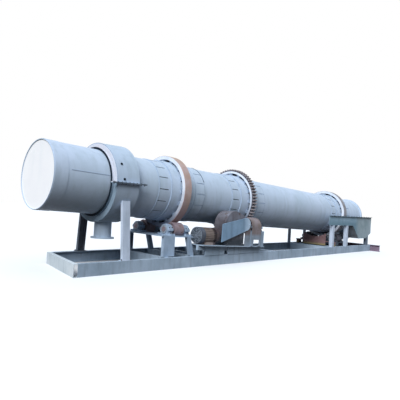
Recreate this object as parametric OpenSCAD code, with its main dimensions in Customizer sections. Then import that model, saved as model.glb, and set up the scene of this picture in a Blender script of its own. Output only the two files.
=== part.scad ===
// Rotary dryer on a welded skid: an inclined drum on two riding rings, driven by a girth gear.
// Millimetres. X runs along the skid towards the discharge end, -Y is the drive side, Z is up from the ground.

/* [Skid] */
// Length of the drive-side beam past the hood's middle, at the feed end
skid_lead = 1035; // [900:5:1200]
// Room between the casing's closed end and the discharge end beam
skid_tail = 30; // [10:1:60]
// How much later the far beam starts, which sets the end beam's skew
rear_setback = 350; // [200:10:500]
// Depth of the channel beams
beam_h = 220; // [180:5:260]
// Flange width of the channel beams
beam_flange = 77; // [60:1:100]
// Web thickness of the channel beams
beam_web = 9; // [6:0.5:14]
// Flange thickness of the channel beams
beam_lip = 11; // [8:0.5:16]
// How far the discharge end beam reaches past each long beam
end_beam_reach = 320; // [100:10:400]
// Width of the discharge end beam
end_beam_w = 110; // [80:5:160]

/* [Drum] */
// Outside diameter of the drum shell
drum_d = 1200; // [1000:10:1400]
// Wall thickness of the drum shell
shell_t = 12; // [8:1:20]
// Length of the drum past the hood, at the feed end
stub_len = 1111; // [900:5:1300]
// Length of the drum past the middle of the discharge ring
drum_tail = 1622; // [1400:5:1900]
// Fall of the drum towards the discharge end, in degrees
slope = 2.29; // [1.5:0.05:3]
// Thickness of the closing disc at the feed end
disc_t = 12; // [8:1:20]
// Depth of the disc inside the feed end rim
disc_recess = 15; // [5:1:40]
// Width of the rim band at the feed end
band_w = 235; // [150:5:300]
// Thickness of the rim band
band_t = 6; // [4:1:14]
// Width of the stiffening ring at the discharge end
end_ring_w = 60; // [40:5:100]
// Height of the stiffening ring at the discharge end
end_ring_h = 30; // [15:1:60]
// Number of lifting flights inside the drum
flight_count = 12; // [6:1:16]
// Height of each lifting flight
flight_h = 130; // [80:5:180]
// Thickness of the flight plates
flight_t = 8; // [5:1:12]
// Length of drum left bare at each end of the flights
flight_gap = 100; // [40:5:200]

/* [Riding rings] */
// Height of the rings' running face over the shell
tyre_rise = 160; // [140:5:190]
// Width of the riding rings
tyre_w = 200; // [160:5:230]
// Radial thickness of the riding rings
tyre_t = 80; // [65:1:95]
// Edge chamfer of the riding rings
tyre_edge = 8; // [3:1:15]
// Distance between the two riding rings along the drum
tyre_span = 7246; // [6000:10:8500]
// Length of the wrapper plate under each ring and the girth gear
wrap_len = 1280; // [1050:10:1500]
// Thickness of the wrapper plate
wrap_t = 14; // [8:1:18]
// Length of the raised seat in the wrapper's middle
seat_len = 640; // [500:10:780]
// Height of the raised seat over the shell
seat_t = 34; // [24:1:42]
// Number of spacer blocks that carry each ring
spacer_count = 16; // [12:1:20]
// Width of each spacer block round the drum
spacer_w = 84; // [60:2:110]
// Length of the relief slits in the wrapper's ends
slit_l = 230; // [150:5:280]
// Width of the relief slits
slit_w = 16; // [8:1:24]

/* [Rollers] */
// Diameter of the trunnion rollers
roller_d = 300; // [250:5:360]
// Width of the trunnion rollers
roller_w = 240; // [210:5:290]
// Rim thickness of the rollers, outside their dished faces
roller_rim = 32; // [20:1:45]
// Depth of the dish in each roller face
roller_dish = 28; // [10:1:40]
// Angle of the rollers from straight below the drum
roller_angle = 30; // [24:0.5:36]
// Gap left between ring and roller
roller_gap = 0.3; // [0.2:0.05:1]
// Diameter of the roller shafts
roller_shaft_d = 100; // [80:5:120]
// Running clearance of a shaft in its bearing, on the radius
shaft_clear = 0.05; // [0.02:0.01:0.1]
// Length of shaft that shows past a bearing
shaft_over = 20; // [10:1:40]
// Length of the bearing blocks along the shaft
block_l = 140; // [110:5:170]
// Width of the bearing blocks across the shaft
block_w = 380; // [320:5:460]
// Height of the bearing centre over its foot
block_c = 115; // [95:1:140]
// Radius of the bearing caps
block_cap = 104; // [85:1:125]
// Thickness of the bearing blocks' feet
block_foot = 34; // [25:1:45]
// Gap between a roller's face and its bearing block
block_gap = 45; // [20:1:60]
// Height of the discharge-end table over the skid
low_table_h = 122; // [100:1:150]
// Reach of the roller tables towards the feed end
table_lead = 520; // [430:10:620]
// Plate past the bearing blocks, towards the drive
table_edge = 23; // [10:1:30]
// Plate past the bearing blocks, towards the sides
table_margin = 40; // [20:1:50]
// Thickness of the roller tables' top plate
table_t = 25; // [16:1:40]
// Width of the tables' posts
table_post = 140; // [100:5:170]
// Width of the tables' slanted legs
table_leg = 105; // [80:5:130]
// Lean of the slanted legs in degrees
table_lean = 16; // [10:1:20]
// Width of the tables' web plates
table_web = 220; // [150:5:280]
// Thickness of the tables' web plates
table_web_t = 20; // [12:1:26]

/* [Girth gear] */
// Height of the girth gear's pitch circle over the shell
gear_rise = 168; // [140:2:200]
// Number of teeth on the pinion
pinion_teeth = 16; // [13:1:19]
// Gear module
gear_m = 24; // [20:0.5:28]
// Pressure angle of the teeth in degrees
gear_press = 20; // [17:0.5:23]
// Face width of the girth gear
gear_w = 150; // [120:5:180]
// Face width of the pinion
pinion_w = 170; // [140:5:200]
// Thickness of the girth gear's rim under the teeth
gear_rim = 50; // [40:1:60]
// Flank clearance that keeps the teeth from binding
backlash = 3; // [2:0.25:5]
// Axial place of the girth gear, from mid length
gear_a = -982; // [-1160:2:-800]
// Angle of the pinion below the horizontal
pinion_angle = 40; // [34:0.5:46]
// Diameter of the pinion shaft
pinion_shaft_d = 110; // [90:5:130]

/* [Drive] */
// Height of the plinth over the skid at its low end
plinth_h = 155; // [140:5:180]
// Height of the motor's axis over the plinth
input_c = 190; // [180:5:225]
// Length of the reducer
reducer_l = 860; // [720:10:1020]
// Half width of the reducer casing
reducer_half_w = 165; // [140:5:195]
// Radius of the reducer's round back
hump_r = 331; // [280:5:390]
// Distance from the round back's middle to the output face
hump_run = 341; // [290:5:400]
// Height of the output face's top over the output shaft
hump_roof = 240; // [200:5:280]
// Radius of the adaptor between motor and reducer
adaptor_r = 182; // [150:2:186]
// Height of the reducer's feet
reducer_foot = 30; // [20:1:40]
// Thickness of each half of the reducer's split flange
joint_t = 18; // [12:1:26]
// Width of the reducer's split flange
joint_w = 34; // [20:1:45]
// Diameter of the motor
motor_d = 350; // [300:5:370]
// Length of the motor
motor_l = 540; // [450:5:640]
// Length of the motor's fan cowl
cowl_l = 112; // [90:2:140]
// Length of the motor's front flange
motor_flange = 70; // [50:2:90]
// Height of the motor's cooling ribs
rib_h = 22; // [15:1:30]
// Thickness of the motor's cooling ribs
rib_t = 6; // [4:0.5:9]
// Number of cooling ribs round the motor
motor_ribs = 28; // [16:2:34]
// Half width of the motor's feet
motor_foot = 130; // [100:5:160]
// Half width of the drive plinth
plinth_half_w = 200; // [190:5:240]
// Thickness of the plinth's top plate
plinth_t = 20; // [12:1:26]
// Height of the plinth's rails
plinth_rail_h = 100; // [80:5:110]
// Width of the plinth's rails and legs
plinth_rail_w = 65; // [50:5:76]
// Length of the output coupling
coupling_l = 130; // [100:5:160]
// Radius of the output coupling
coupling_r = 140; // [110:5:150]
// Outside radius of the arched coupling guard
cover_r = 190; // [180:2:198]
// Thickness of the guards' sheet
cover_t = 6; // [3:0.5:10]
// Thickness of the side guard on the reducer
guard_t = 30; // [20:1:40]
// Radius of the side guard's round end
guard_r = 145; // [120:5:170]
// Height of the side guard's lower corner over the plinth
guard_low = 75; // [60:5:100]
// Height of the side guard's upper corner over the output shaft
guard_high = 23; // [10:1:40]
// Height of the side guard's round end over the output shaft
guard_tip = 57; // [45:1:70]

/* [Feed hood] */
// Room between the hood's flange and the wrapper of the feed end ring
hood_gap = 470; // [380:5:560]
// Room between the drum and the hood's barrel
hood_room = 138; // [110:2:170]
// Length of the hood along the drum
hood_len = 492; // [400:4:590]
// Plate thickness of the hood
hood_t = 8; // [5:1:12]
// Gap between the drum and the hood's end plates
seal_gap = 25; // [20:1:40]
// Length of the seal collars on the hood's ends
collar_l = 40; // [20:2:60]
// Thickness of the seal collars
collar_t = 12; // [6:1:20]
// Width of the hood's split flange
split_w = 60; // [40:2:80]
// Thickness of each half of the split flange
split_t = 12; // [8:1:16]
// How far the split flange runs past the hood's ends
split_over = 130; // [60:5:160]
// Outside diameter of the spout pipe
spout_d = 325; // [270:1:390]
// Wall thickness of the spout pipe
spout_t = 8; // [6:1:12]
// Height of the spout's mouth over the ground
spout_z = 550; // [450:5:650]
// Width of the spout flange outside the pipe
spout_rim = 57.5; // [50:0.5:70]
// Distance of the spout's bolts from the pipe's outside
spout_bolt = 35; // [30:0.5:40]
// Thickness of the spout flange
spout_flange_t = 24; // [16:1:30]
// Diameter of the spout flange's bolt holes
spout_hole_d = 22; // [18:1:26]
// Number of bolts in the spout flange
spout_holes = 12; // [8:1:14]
// Width of the hood's channel legs
hood_leg_w = 160; // [120:5:190]
// Depth of the hood's channel legs
hood_leg_b = 65; // [50:1:77]
// Lean of the hood's legs in degrees
hood_leg_lean = 5; // [3:0.5:7]
// Where the legs end below the hood's axis, as a share of its radius
hood_leg_reach = 0.42; // [0.35:0.01:0.5]
// Length of the legs' foot plates past the channel
foot_edge = 40; // [20:2:60]

/* [Discharge casing] */
// Length of the casing before the middle of the discharge ring
casing_lead = 1160; // [950:10:1380]
// Room between the drum's open end and the casing's closed end
casing_reach = 408; // [330:2:490]
// Height of the casing's open top over the drum axis at its end
casing_rise = 20; // [0:1:60]
// Depth of the casing's shallow side panels
skirt_h = 300; // [250:5:360]
// Depth of the hopper's floor under the drum
hopper_depth = 120; // [100:2:150]
// Length of the hopper's slope
hopper_slope = 480; // [400:5:570]
// Length of the hopper's floor
hopper_floor = 600; // [500:5:710]
// Length of the rising part at the closed end
hopper_rise = 400; // [330:5:470]
// Height of the rising part at the closed end
hopper_knee = 180; // [150:2:215]
// Side of the square outlet in the hopper's floor
mouth = 420; // [350:5:490]
// Length of the outlet's collar
mouth_collar = 60; // [40:2:90]
// Gap between the riding ring and the casing walls
casing_gap = 35; // [20:1:45]
// Plate thickness of the casing
casing_t = 6; // [4:1:10]
// Width of the casing's top flange
casing_lip = 50; // [30:2:60]
// Side of the square casing legs
casing_leg = 110; // [90:5:125]
// Distance of the first legs from the casing's feed end
leg_lead = 320; // [260:5:380]
// Distance of the second legs from the hopper's slope
leg_tail = 410; // [340:5:480]

/* [Hidden] */
$fn = 96;
eps = 1;
far = 20000;
// Hair gap where two round faces of pieces in one body meet
fit_gap = 0.3;

// Radii of the drum, its wrappers and the riding rings
drum_r = drum_d / 2;
bore_r = drum_r - shell_t;
wrap_r = drum_r + wrap_t;
seat_r = drum_r + seat_t;
tyre_r = drum_r + tyre_rise;
tyre_in = tyre_r - tyre_t;

// Tooth counts, tooth circles and the pinion's centre, across the drum axis
gear_teeth = round(2 * (drum_r + gear_rise) / gear_m);
gear_pitch = gear_m * gear_teeth / 2;
pinion_pitch = gear_m * pinion_teeth / 2;
addendum = gear_m;
dedendum = 1.25 * gear_m;
gear_in = gear_pitch - dedendum - gear_rim;
centres = gear_pitch + pinion_pitch;
pinion_y = -centres * cos(pinion_angle);
pinion_w_pos = -centres * sin(pinion_angle);

// Roller centres across the drum axis, and the tables under them
roller_c = tyre_r + roller_d / 2 + roller_gap;
roller_y = roller_c * sin(roller_angle);
roller_w_pos = -roller_c * cos(roller_angle);
block_a = roller_w / 2 + block_gap + block_l / 2;
table_w = roller_w_pos - block_c;
table_half_w = roller_y + block_w / 2 + table_margin;
table_right = block_a + block_l / 2 + table_edge;
// Windows in the table tops, which the rollers dip into
window_room = 30;
window_l = roller_w + 2 * window_room;
window_w = 2 * sqrt(max(pow(roller_d / 2, 2) - pow(block_c, 2), 0)) + 2 * window_room;

// Places along the drum axis: from the girth gear over the drive to the feed end ring
pinion_block_a = pinion_w / 2 + block_gap + block_l / 2;
coupling_start = gear_a - pinion_block_a - block_l / 2 - block_gap - coupling_l;
reducer_end = coupling_start - block_gap;
reducer_start = reducer_end - reducer_l;
motor_start = reducer_start - motor_l;
station_gap = 32;
tyre_1_a = motor_start - station_gap - table_right;
tyre_2_a = tyre_1_a + tyre_span;
tyre_1_x = tyre_1_a * cos(slope);
tyre_2_x = tyre_2_a * cos(slope);
shaft_seat = 60;
hump_a = reducer_end - hump_run;

// The drum axis stands so high that the discharge-end table clears the skid
axis_z = beam_h + low_table_h + tyre_2_a * sin(slope) - table_w * cos(slope);

// Feed hood round the inclined drum, and the drum's ends
hood_x = tyre_1_x - wrap_len / 2 - hood_gap - split_over - hood_len / 2;
hood_r = drum_r + hood_room;
hood_z = axis_at(hood_x);
seal_r = drum_r + seal_gap;
drum_left = hood_len / 2 + stub_len - hood_x / cos(slope);
drum_right = tyre_2_a + drum_tail;
drum_end_x = drum_right * cos(slope);

// Discharge casing, whose walls stand clear of the riding ring and the table
leg_room = 5;
casing_y = max(tyre_r + casing_gap, table_half_w + leg_room + casing_leg - casing_t);
casing_left = tyre_2_x - casing_lead;
casing_right = drum_end_x + casing_reach;
casing_top = axis_at(drum_end_x) + casing_rise;
casing_skirt = casing_top - skirt_h;
hopper_z = axis_at(drum_end_x) - drum_r - hopper_depth;
knee_z = hopper_z + hopper_knee;
floor_r = casing_right - hopper_rise;
floor_l = floor_r - hopper_floor;
slope_l = floor_l - hopper_slope;

// Skid under it all
skid_half_w = casing_y + casing_t;
skid_left = skid_lead - hood_x;
skid_right = casing_right + skid_tail;

// Drive plinth, parallel to the drum
plinth_inset = 20;
guard_steps = 24;
plinth_start = motor_start + plinth_inset;
plinth_end = gear_a + pinion_block_a + block_l / 2 + block_gap;
plinth_w = (beam_h + plinth_h - axis_z + plinth_end * sin(slope)) / cos(slope);
input_w = plinth_w + input_c;
drive_drop = pinion_w_pos - input_w;

// Cross beams: under the drive, the roller tables, mid length and the casing's first legs
drive_beam_at = [0.12, 0.5, 0.9];
drive_beam_x = [for (f = drive_beam_at) plinth_start + f * (plinth_end - plinth_start)];
table_foot = [table_post / 2 - table_lead, table_right - table_leg / 2];
table_beam_x = [for (x = [tyre_1_x, tyre_2_x], foot = table_foot) x + foot];
cross_x = concat(drive_beam_x, table_beam_x, [0, casing_left + leg_lead]);

function axis_at(x) = axis_z - tan(slope) * x;
function polar(r, a) = [r * cos(a), r * sin(a)];
// Where a line from p touches a circle, as an angle and as a point; the side is 1 or -1
function touch_angle(p, c, r, side) = atan2(p.y - c.y, p.x - c.x) + side * acos(r / norm(p - c));
function touch(p, c, r, side) = c + polar(r, touch_angle(p, c, r, side));

// Involute teeth: half a tooth's angle at radius r, and one outline with a tooth centred on angle 0
function involute(a) = tan(a) * 180 / PI - a;
function half_tooth(n, r) = let (
        rp = gear_m * n / 2,
        base = rp * cos(gear_press),
        play = backlash / 4 / rp * 180 / PI)
    90 / n - play + involute(gear_press) - involute(acos(min(base / r, 1)));
flank_steps = [0, 0.3, 0.65, 1];
function flank_radii(n) = let (
        rp = gear_m * n / 2,
        root = rp - dedendum,
        low = max(root, rp * cos(gear_press)))
    concat(low > root ? [root] : [], [for (f = flank_steps) low + f * (rp + addendum - low)]);
function tooth(n, i) = let (r = flank_radii(n), top = len(r) - 1, mid = i * 360 / n) concat(
    [for (k = [0 : top]) polar(r[k], mid - half_tooth(n, r[k]))],
    [for (k = [top : -1 : 0]) polar(r[k], mid + half_tooth(n, r[k]))]);
function gear_outline(n) = [for (i = [0 : n - 1], p = tooth(n, i)) p];
// Angle, in the plane across the drum, of the line from the drum's centre to the pinion's
mesh_turn = atan2(pinion_y, -pinion_w_pos);

// Frames: the inclined drum axis at a given axial place, with the extrusion axis along the drum
module tilted() { translate([0, 0, axis_z]) rotate([0, slope, 0]) children(); }
module along(a, y = 0, w = 0) { tilted() translate([a, y, w]) rotate([0, 90, 0]) children(); }
module rear_side() { mirror([0, 1, 0]) children(); }
module below(w) {
    // Keeps what lies under a plane parallel to the drum axis
    intersection() {
        children();
        tilted() translate([-far / 2, -far / 2, w - far]) cube([far, far, far]);
    }
}
module tube(h, ro, ri) {
    difference() {
        cylinder(h = h, r = ro);
        translate([0, 0, -eps]) cylinder(h = h + 2 * eps, r = ri);
    }
}
module channel(len, h, b) {
    // Runs along +X with its web at Y = 0 and its flanges towards +Y
    difference() {
        cube([len, b, h]);
        translate([-eps, beam_web, beam_lip]) cube([len + 2 * eps, b, h - 2 * beam_lip]);
    }
}

// Skid
skew = atan2(rear_setback, 2 * skid_half_w);
module at_left_end() { translate([-skid_left, -skid_half_w, 0]) rotate([0, 0, -skew]) children(); }
module long_beam(rear) {
    side = rear ? 1 : 0;
    difference() {
        mirror([0, side, 0]) translate([-skid_left, -skid_half_w, 0])
            channel(skid_left + skid_right, beam_h, beam_flange);
        at_left_end() translate([beam_flange - far, -far / 2, -eps]) cube([far, far, beam_h + 2 * eps]);
    }
}
module skid_beam_front() { color("slategray") long_beam(false); }
module skid_beam_rear() { color("slategray") long_beam(true); }
module end_beam_left() {
    color("slategray") intersection() {
        at_left_end() translate([0, far / 2, 0]) rotate([0, 0, -90]) channel(far, beam_h, beam_flange);
        translate([-far / 2, -skid_half_w, -eps]) cube([far, 2 * skid_half_w, beam_h + 2 * eps]);
    }
}
module end_beam_right() {
    reach = skid_half_w + end_beam_reach;
    notch = (end_beam_w - beam_web) / 2;
    color("rosybrown") translate([skid_right, -reach, 0]) difference() {
        cube([end_beam_w, 2 * reach, beam_h]);
        for (x = [-eps, end_beam_w - notch])
            translate([x, -eps, beam_lip]) cube([notch + eps, 2 * reach + 2 * eps, beam_h - 2 * beam_lip]);
    }
}
module cross_beams() {
    span = skid_half_w - beam_flange;
    color("slategray") for (x = cross_x)
        translate([x - beam_flange / 2, span, 0]) rotate([0, 0, -90]) channel(2 * span, beam_h, beam_flange);
}

// Feed hood: two half casings bolted on a level split, round the inclined drum
module hood_half(upper) {
    cut = upper ? 0 : -far;
    flange_z = upper ? 0 : -split_t;
    translate([hood_x, 0, hood_z]) {
        intersection() {
            translate([-hood_len / 2, 0, 0]) rotate([0, 90, 0]) difference() {
                union() {
                    cylinder(h = hood_len, r = hood_r);
                    translate([0, 0, -collar_l]) cylinder(h = hood_len + 2 * collar_l, r = seal_r + collar_t);
                }
                translate([0, 0, hood_t]) cylinder(h = hood_len - 2 * hood_t, r = hood_r - hood_t);
                translate([0, 0, -2 * collar_l]) cylinder(h = hood_len + 4 * collar_l, r = seal_r);
                if (!upper) translate([hood_r - spout_d, 0, hood_len / 2]) rotate([0, 90, 0])
                    cylinder(h = far, r = spout_d / 2);
            }
            translate([-far / 2, -far / 2, cut]) cube([far, far, far]);
        }
        for (side = [0, 1]) mirror([0, side, 0])
            translate([-hood_len / 2 - split_over, hood_r - hood_t / 2, flange_z])
            cube([hood_len + 2 * split_over, split_w + hood_t / 2, split_t]);
    }
}
module hood_upper() { color("lightsteelblue") hood_half(true); }
module hood_lower() { color("lightsteelblue") hood_half(false); }
module spout() {
    top = hood_z - sqrt(pow(hood_r - hood_t, 2) - pow(spout_d / 2, 2));
    color("steelblue") translate([hood_x, 0, spout_z]) difference() {
        union() {
            cylinder(h = top - spout_z, r = spout_d / 2);
            cylinder(h = spout_flange_t, r = spout_d / 2 + spout_rim);
        }
        translate([0, 0, -eps]) cylinder(h = far, r = spout_d / 2 - spout_t);
        for (i = [0 : spout_holes - 1]) rotate(i * 360 / spout_holes)
            translate([spout_d / 2 + spout_bolt, 0, -eps]) cylinder(h = spout_flange_t + 2 * eps, r = spout_hole_d / 2);
    }
}
module hood_leg() {
    foot_y = skid_half_w - beam_flange / 2;
    color("lightsteelblue") difference() {
        union() {
            intersection() {
                translate([hood_x - hood_leg_w / 2, -foot_y, beam_h]) rotate([-hood_leg_lean, 0, 0])
                    translate([0, -hood_leg_b / 2, -beam_h]) rotate([0, -90, 0])
                    mirror([0, 0, 1]) channel(hood_z, hood_leg_w, hood_leg_b);
                translate([-far / 2, -far / 2, beam_h]) cube([far, far, hood_z - hood_r * hood_leg_reach - beam_h]);
            }
            translate([hood_x - hood_leg_w / 2 - foot_edge, -skid_half_w, beam_h])
                cube([hood_leg_w + 2 * foot_edge, beam_flange, beam_lip]);
        }
        translate([hood_x - hood_len, 0, hood_z]) rotate([0, 90, 0]) cylinder(h = 2 * hood_len, r = hood_r);
    }
}
module hood_leg_front() { hood_leg(); }
module hood_leg_rear() { rear_side() hood_leg(); }

// Roller stations: a welded table on the skid, plummer blocks and four shafts with rollers
module table_side() {
    // Side view over the skid's top: an upright post, a web plate and a slanted leg
    run = axis_z * tan(table_lean);
    translate([-table_lead, 0]) square([table_post, axis_z]);
    polygon([
        [table_right - table_leg, 0], [table_right, 0],
        [table_right - run, axis_z], [table_right - table_leg - run, axis_z]
    ]);
}
module roller_table(a) {
    x = a * cos(slope);
    web_x = (table_post - table_lead) - table_post / 2;
    color("slategray") {
        tilted() translate([a, 0, table_w - table_t]) difference() {
            translate([-table_lead, -table_half_w, 0]) cube([table_lead + table_right, 2 * table_half_w, table_t]);
            for (t = [-1, 1]) translate([-window_l / 2, t * roller_y - window_w / 2, -eps])
                cube([window_l, window_w, table_t + 2 * eps]);
        }
        below(table_w - table_t / 2) for (t = [0, 1]) mirror([0, t, 0]) translate([x, 0, beam_h]) {
            translate([0, beam_flange - table_half_w, 0]) rotate([90, 0, 0])
                linear_extrude(beam_flange) table_side();
            translate([web_x, -table_half_w, beam_lip]) cube([table_web, table_web_t, axis_z]);
        }
    }
}
module roller_table_1() { roller_table(tyre_1_a); }
module roller_table_2() { roller_table(tyre_2_a); }
module plummer(bore) {
    // Foot down along +X of the turned frame, bore along Z
    translate([0, 0, -block_l / 2]) difference() {
        union() {
            cylinder(h = block_l, r = block_cap);
            translate([0, -block_cap, 0]) cube([block_c, 2 * block_cap, block_l]);
            translate([block_c - block_foot, -block_w / 2, 0]) cube([block_foot, block_w, block_l]);
        }
        translate([0, 0, -eps]) cylinder(h = block_l + 2 * eps, r = bore);
    }
}
module roller_blocks(a) {
    color("steelblue") for (s = [-1, 1], t = [-1, 1])
        along(a + s * block_a, t * roller_y, roller_w_pos) plummer(roller_shaft_d / 2 + shaft_clear);
}
module roller_blocks_1() { roller_blocks(tyre_1_a); }
module roller_blocks_2() { roller_blocks(tyre_2_a); }
module roller(a, side) {
    shaft_r = roller_shaft_d / 2;
    shaft_half = block_a + block_l / 2 + shaft_over;
    hub_r = shaft_r + roller_rim;
    rim_r = roller_d / 2 - roller_rim;
    half = roller_w / 2;
    floor = half - roller_dish;
    color("sienna") along(a, side * roller_y, roller_w_pos) rotate_extrude() polygon([
        [0, -shaft_half], [shaft_r, -shaft_half], [shaft_r, -half], [hub_r, -half], [hub_r, -floor],
        [rim_r, -floor], [rim_r, -half], [roller_d / 2, -half], [roller_d / 2, half], [rim_r, half],
        [rim_r, floor], [hub_r, floor], [hub_r, half], [shaft_r, half], [shaft_r, shaft_half], [0, shaft_half]
    ]);
}
module roller_1_front() { roller(tyre_1_a, -1); }
module roller_1_rear() { roller(tyre_1_a, 1); }
module roller_2_front() { roller(tyre_2_a, -1); }
module roller_2_rear() { roller(tyre_2_a, 1); }

// Discharge casing: open-topped lower half with a hopper under the drum's open end
module casing_outline() {
    polygon([
        [casing_left, casing_top], [casing_right, casing_top], [casing_right, knee_z],
        [floor_r, hopper_z], [floor_l, hopper_z], [slope_l, casing_skirt],
        [casing_left, casing_skirt]
    ]);
}
module casing_wall() {
    color("cadetblue") {
        translate([0, -casing_y, 0]) rotate([90, 0, 0]) linear_extrude(casing_t) casing_outline();
        translate([casing_left, -casing_y - casing_t - casing_lip, casing_top - casing_t])
            cube([casing_right - casing_left, casing_lip, casing_t]);
    }
}
module casing_wall_front() { casing_wall(); }
module casing_wall_rear() { rear_side() casing_wall(); }
module casing_hopper() {
    mouth_x = (floor_l + floor_r - mouth) / 2;
    plates = [
        [slope_l, casing_skirt], [floor_l, hopper_z], [floor_r, hopper_z], [casing_right, knee_z],
        [casing_right, casing_top], [casing_right - casing_t, casing_top],
        [casing_right - casing_t, knee_z + casing_t], [floor_r - casing_t, hopper_z + casing_t],
        [floor_l + casing_t, hopper_z + casing_t], [slope_l + 2 * casing_t, casing_skirt]
    ];
    color("gray") difference() {
        union() {
            translate([0, casing_y, 0]) rotate([90, 0, 0]) linear_extrude(2 * casing_y) polygon(plates);
            translate([mouth_x - casing_t, -mouth / 2 - casing_t, hopper_z - mouth_collar])
                cube([mouth + 2 * casing_t, mouth + 2 * casing_t, mouth_collar + casing_t]);
        }
        along(0) cylinder(h = drum_right, r = seal_r + end_ring_h);
        translate([mouth_x, -mouth / 2, hopper_z - mouth_collar - eps])
            cube([mouth, mouth, mouth_collar + 2 * casing_t]);
    }
}
module angle_post(h) {
    difference() {
        cube([casing_leg, casing_leg, h]);
        translate([beam_web, beam_web, -eps]) cube([casing_leg, casing_leg, h + 2 * eps]);
    }
}
module casing_legs() {
    leg_x = [casing_left + leg_lead, slope_l - leg_tail];
    end_x = (floor_r + casing_right) / 2 - casing_leg;
    color("lightsteelblue") {
        for (x = leg_x) translate([x - casing_leg / 2, -casing_y - casing_t, beam_h])
            angle_post(casing_skirt - beam_h);
        intersection() {
            translate([end_x, -casing_y - casing_t, beam_h]) angle_post(axis_z);
            rotate([90, 0, 0]) linear_extrude(far) polygon([
                [floor_l, 0], [casing_right, 0], [casing_right, knee_z], [floor_r, hopper_z], [floor_l, hopper_z]
            ]);
        }
    }
}
module casing_legs_front() { casing_legs(); }
module casing_legs_rear() { rear_side() casing_legs(); }

// Drive: plinth on the drive-side beam, motor, reducer, coupling, pinion and its bearings
module drive_plinth() {
    rail_y = [-skid_half_w, pinion_y + plinth_half_w - plinth_rail_w];
    color("slategray") {
        tilted() translate([plinth_start, pinion_y - plinth_half_w, plinth_w - plinth_t])
            cube([plinth_end - plinth_start, 2 * plinth_half_w, plinth_t]);
        for (y = rail_y) tilted() translate([plinth_start, y, plinth_w - plinth_t - plinth_rail_h])
            cube([plinth_end - plinth_start, plinth_rail_w, plinth_rail_h]);
        below(plinth_w - plinth_t - plinth_rail_h) for (x = drive_beam_x, y = rail_y)
            translate([x - beam_flange / 2, y, beam_h]) cube([beam_flange, plinth_rail_w, axis_z]);
    }
}
module motor() {
    core_r = motor_d / 2 - rib_h;
    foot_h = input_c - core_r + rib_h;
    color("saddlebrown") along(motor_start, pinion_y, input_w) {
        cylinder(h = motor_l, r = core_r);
        cylinder(h = cowl_l, r = motor_d / 2);
        translate([0, 0, motor_l - motor_flange]) cylinder(h = motor_flange, r = motor_d / 2);
        for (i = [0 : motor_ribs - 1]) rotate(i * 360 / motor_ribs)
            translate([core_r - rib_t, -rib_t / 2, cowl_l - eps])
                cube([rib_h + rib_t, rib_t, motor_l - cowl_l - motor_flange + 2 * eps]);
        translate([input_c - foot_h, -motor_foot, cowl_l + motor_flange])
            cube([foot_h, 2 * motor_foot, motor_l - cowl_l - 2 * motor_flange]);
    }
}
module reducer_side() {
    // Side view round the round back's middle: round back, roof sloping to the output face, straight sides
    roof = [hump_run, hump_roof];
    base = plinth_w - pinion_w_pos;
    circle(r = hump_r);
    polygon([
        [-hump_r, 0], [-hump_r, base], [hump_run, base], roof, touch(roof, [0, 0], hump_r, 1), [0, 0]
    ]);
}
module reducer() {
    body_l = hump_r + hump_run;
    color("steelblue") difference() {
        union() {
            tilted() translate([hump_a, pinion_y + reducer_half_w, pinion_w_pos]) rotate([90, 0, 0])
                linear_extrude(2 * reducer_half_w) reducer_side();
            along(reducer_start, pinion_y, input_w) cylinder(h = reducer_l - body_l + eps, r = adaptor_r);
            tilted() translate([hump_a - hump_r, pinion_y - reducer_half_w - joint_w, pinion_w_pos - joint_t])
                cube([body_l, 2 * (reducer_half_w + joint_w), 2 * joint_t]);
            tilted() translate([hump_a - hump_r, pinion_y - plinth_half_w, plinth_w])
                cube([body_l, 2 * plinth_half_w, reducer_foot]);
        }
        along(reducer_end - shaft_seat, pinion_y, pinion_w_pos)
            cylinder(h = far, r = pinion_shaft_d / 2 + shaft_clear);
    }
}
module reducer_guard() {
    // Sheet-metal box on the reducer's outer side: upright back edge, round front end
    tip = [hump_run, guard_tip];
    low = [reducer_start - hump_a + guard_r / 4, plinth_w - pinion_w_pos + guard_low];
    high = [low.x, guard_high];
    start = touch_angle(low, tip, guard_r, 1);
    turn = touch_angle(high, tip, guard_r, -1) + 360 - start;
    arc = [for (i = [0 : guard_steps]) tip + polar(guard_r, start + i * turn / guard_steps)];
    color("steelblue") tilted()
        translate([hump_a, pinion_y - reducer_half_w - joint_w, pinion_w_pos]) rotate([90, 0, 0])
        linear_extrude(guard_t) polygon(concat([low], arc, [high]));
}
module coupling_guard() {
    start = reducer_end + leg_room;
    len = coupling_l + 2 * block_gap - 2 * leg_room;
    drop = pinion_w_pos - plinth_w;
    color("slategray") along(start, pinion_y, pinion_w_pos) linear_extrude(len) difference() {
        union() {
            circle(r = cover_r);
            translate([0, -cover_r]) square([drop, 2 * cover_r]);
        }
        circle(r = cover_r - cover_t);
        translate([0, cover_t - cover_r]) square([drop + eps, 2 * (cover_r - cover_t)]);
    }
}
module pinion_pedestals() {
    h = pinion_w_pos - block_c - plinth_w;
    side = 2 * plinth_t;
    color("slategray") for (s = [-1, 1]) tilted()
        translate([gear_a + s * pinion_block_a - block_l / 2, pinion_y - block_w / 2, plinth_w]) difference() {
            cube([block_l, block_w, h]);
            translate([-eps, side, plinth_t]) cube([block_l + 2 * eps, block_w - 2 * side, h - 2 * plinth_t]);
        }
}
module pinion_blocks() {
    color("steelblue") for (s = [-1, 1])
        along(gear_a + s * pinion_block_a, pinion_y, pinion_w_pos) plummer(pinion_shaft_d / 2 + shaft_clear);
}
module pinion() {
    shaft_start = reducer_end - shaft_seat + eps;
    shaft_end = plinth_end;
    color("sienna") along(gear_a - pinion_w / 2, pinion_y, pinion_w_pos) rotate(mesh_turn + 180)
        linear_extrude(pinion_w) polygon(gear_outline(pinion_teeth));
    color("sienna") along(shaft_start, pinion_y, pinion_w_pos)
        cylinder(h = shaft_end - shaft_start, r = pinion_shaft_d / 2);
}
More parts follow.
